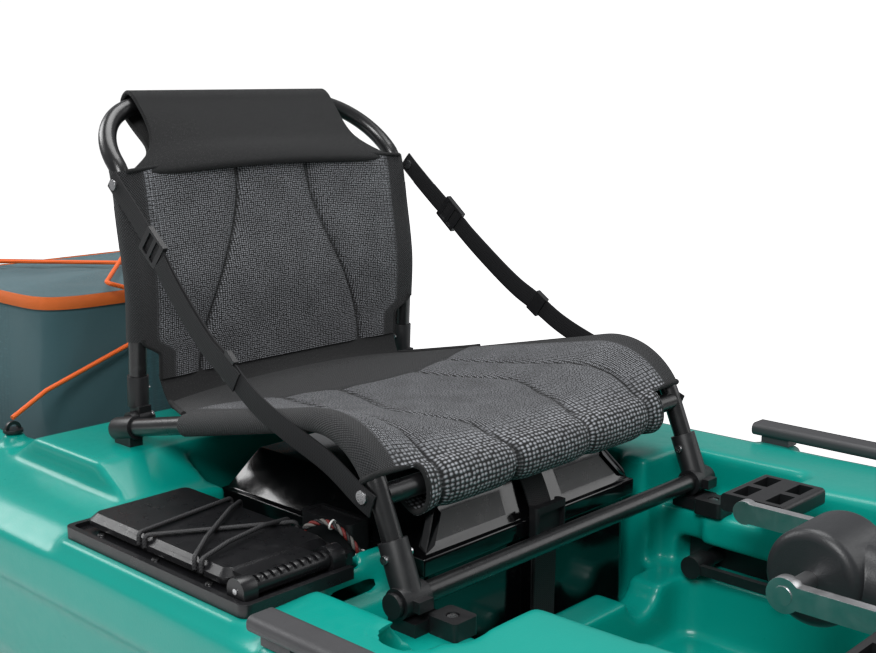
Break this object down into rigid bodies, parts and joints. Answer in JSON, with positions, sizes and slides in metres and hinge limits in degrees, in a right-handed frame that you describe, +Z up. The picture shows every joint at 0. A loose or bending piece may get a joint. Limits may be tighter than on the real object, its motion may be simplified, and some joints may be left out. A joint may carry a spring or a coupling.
{
  "type": "pedal boat",
  "caption": "Sit-on-top pedal boat: hollow moulded hull with a folding framed mesh seat, side and bow hatches, dry box, rear bag, tilting pedal drive and kick-up rudder.",
  "frame": {"origin": "on the flat of the bottom, on the centre line, below the seat", "axes": "+Z up, -Y towards the bow, +Y towards the stern, +X to port"},
  "size_m": [0.902, 3.748, 0.797],
  "materials": {
    "hull_plastic": "semi-gloss moulded teal polyethylene",
    "hatch_plastic": "satin black moulded plastic",
    "fitting_plastic": "satin black nylon",
    "screw_steel": "stainless",
    "tube_black": "satin black anodised aluminium tube",
    "mesh_fabric": "charcoal spacer mesh",
    "headrest_fabric": "charcoal woven polyester",
    "webbing": "black ribbed webbing",
    "bungee_dark": "dark braided elastic",
    "bungee_orange": "orange braided elastic",
    "box_gloss": "gloss black",
    "cable_braid": "braided lead",
    "tie_white": "white nylon ties",
    "bag_cloth": "blue-grey coated cloth",
    "bag_orange": "orange binding",
    "handle_grey": "grey moulded rubberised plastic",
    "drive_casting": "satin black casting",
    "crank_alloy": "brushed alloy",
    "propeller_plastic": "dark composite",
    "rudder_plastic": "black plastic"
  },
  "bodies": {
    "hull": {"hull": "hull_plastic", "side_hatch_frame": "hatch_plastic", "side_hatch_pins": "screw_steel", "side_hatch_screws": "screw_steel", "bow_hatch_rim": "hatch_plastic", "bow_hatch_pin": "screw_steel", "mount_blocks": "fitting_plastic", "mount_screws": "screw_steel", "seat_rail_left": "tube_black", "seat_rail_right": "tube_black", "seat_front_upper_tube": "tube_black", "seat_front_lower_tube": "tube_black", "tube_end_caps": "fitting_plastic", "front_brackets": "fitting_plastic", "bracket_screws": "screw_steel", "rear_clamps": "fitting_plastic", "pivot_bolts": "screw_steel", "seat_pan": "mesh_fabric", "lower_straps": "webbing", "strap_keepers": "fitting_plastic", "lower_strap_bolts": "screw_steel", "dry_box": "box_gloss", "dry_box_lid": "box_gloss", "box_strap": "webbing", "box_buckle": "fitting_plastic", "power_box": "box_gloss", "cable_bundle": "cable_braid", "cable_ties": "tie_white", "rear_bag": "bag_cloth", "bag_band": "bag_orange", "rear_bungees": "bungee_orange", "pad_eyes": "fitting_plastic", "side_handles": "handle_grey", "end_handles": "handle_grey", "drain_plug": "hatch_plastic", "steering_plate": "hatch_plastic", "drive_bracket": "hatch_plastic", "drive_pin": "screw_steel", "rudder_bracket": "fitting_plastic", "rudder_pintle": "screw_steel"},
    "seat_back": {"back_tube": "tube_black", "back_sockets": "fitting_plastic", "socket_screws": "screw_steel", "back_panel": "mesh_fabric", "headrest": "headrest_fabric", "upper_straps": "webbing", "strap_buckles": "fitting_plastic", "upper_strap_bolts": "screw_steel"},
    "side_hatch_lid": {"side_hatch_lid": "hatch_plastic", "side_hatch_bungee": "bungee_dark"},
    "bow_hatch_lid": {"bow_hatch_lid": "hatch_plastic"},
    "steering_lever": {"steering_lever": "handle_grey"},
    "pedal_drive": {"drive_housing": "drive_casting"},
    "cranks": {"crank_set": "crank_alloy"},
    "left_pedal": {"pedal_left": "fitting_plastic"},
    "right_pedal": {"pedal_right": "fitting_plastic"},
    "propeller": {"propeller": "propeller_plastic"},
    "rudder_head": {"rudder_head": "fitting_plastic", "rudder_kick_pin": "screw_steel"},
    "rudder_blade": {"rudder_blade": "rudder_plastic"}
  },
  "joints": [
    {"name": "seat_back_fold", "type": "hinge", "parent": "hull", "child": "seat_back", "pos_m": [0.232, 0.256, 0.398], "axis": [1, 0, 0], "range_deg": [-10, 25], "deforming": ["lower_straps"]},
    {"name": "side_hatch_swing", "type": "hinge", "parent": "hull", "child": "side_hatch_lid", "pos_m": [-0.35, -0.172, 0.349], "axis": [1, 0, 0], "range_deg": [0, 90]},
    {"name": "bow_hatch_swing", "type": "hinge", "parent": "hull", "child": "bow_hatch_lid", "pos_m": [0, -1.333, 0.424], "axis": [-1, 0, 0], "range_deg": [0, 100]},
    {"name": "steering_swing", "type": "hinge", "parent": "hull", "child": "steering_lever", "pos_m": [0.212, -0.278, 0.222], "axis": [1, 0, 0], "range_deg": [-25, 25]},
    {"name": "rudder_yaw", "type": "hinge", "parent": "hull", "child": "rudder_head", "pos_m": [0, 1.486, 0.295], "axis": [0, 0, 1], "range_deg": [-45, 45]},
    {"name": "rudder_kick", "type": "hinge", "parent": "rudder_head", "child": "rudder_blade", "pos_m": [0, 1.522, 0.3], "axis": [1, 0, 0], "range_deg": [-90, 0]},
    {"name": "drive_tilt", "type": "hinge", "parent": "hull", "child": "pedal_drive", "pos_m": [0, -0.7, 0.33], "axis": [1, 0, 0], "range_deg": [0, 80]},
    {"name": "crank_spin", "type": "hinge", "parent": "pedal_drive", "child": "cranks", "pos_m": [0, -0.55228, 0.35605], "axis": [1, 0, 0], "continuous": true},
    {"name": "left_pedal_spin", "type": "hinge", "parent": "cranks", "child": "left_pedal", "pos_m": [0.144, -0.41228, 0.35605], "axis": [1, 0, 0], "continuous": true},
    {"name": "right_pedal_spin", "type": "hinge", "parent": "cranks", "child": "right_pedal", "pos_m": [-0.144, -0.69228, 0.35605], "axis": [1, 0, 0], "continuous": true},
    {"name": "propeller_spin", "type": "hinge", "parent": "pedal_drive", "child": "propeller", "pos_m": [0, -1.09392, 0.26054], "axis": [0, 0.1736, -0.9848], "continuous": true}
  ],
  "couplings": [
    {"joint": "rudder_yaw", "follows": "steering_swing", "ratio": 1.8},
    {"joint": "propeller_spin", "follows": "crank_spin", "ratio": 8}
  ]
}
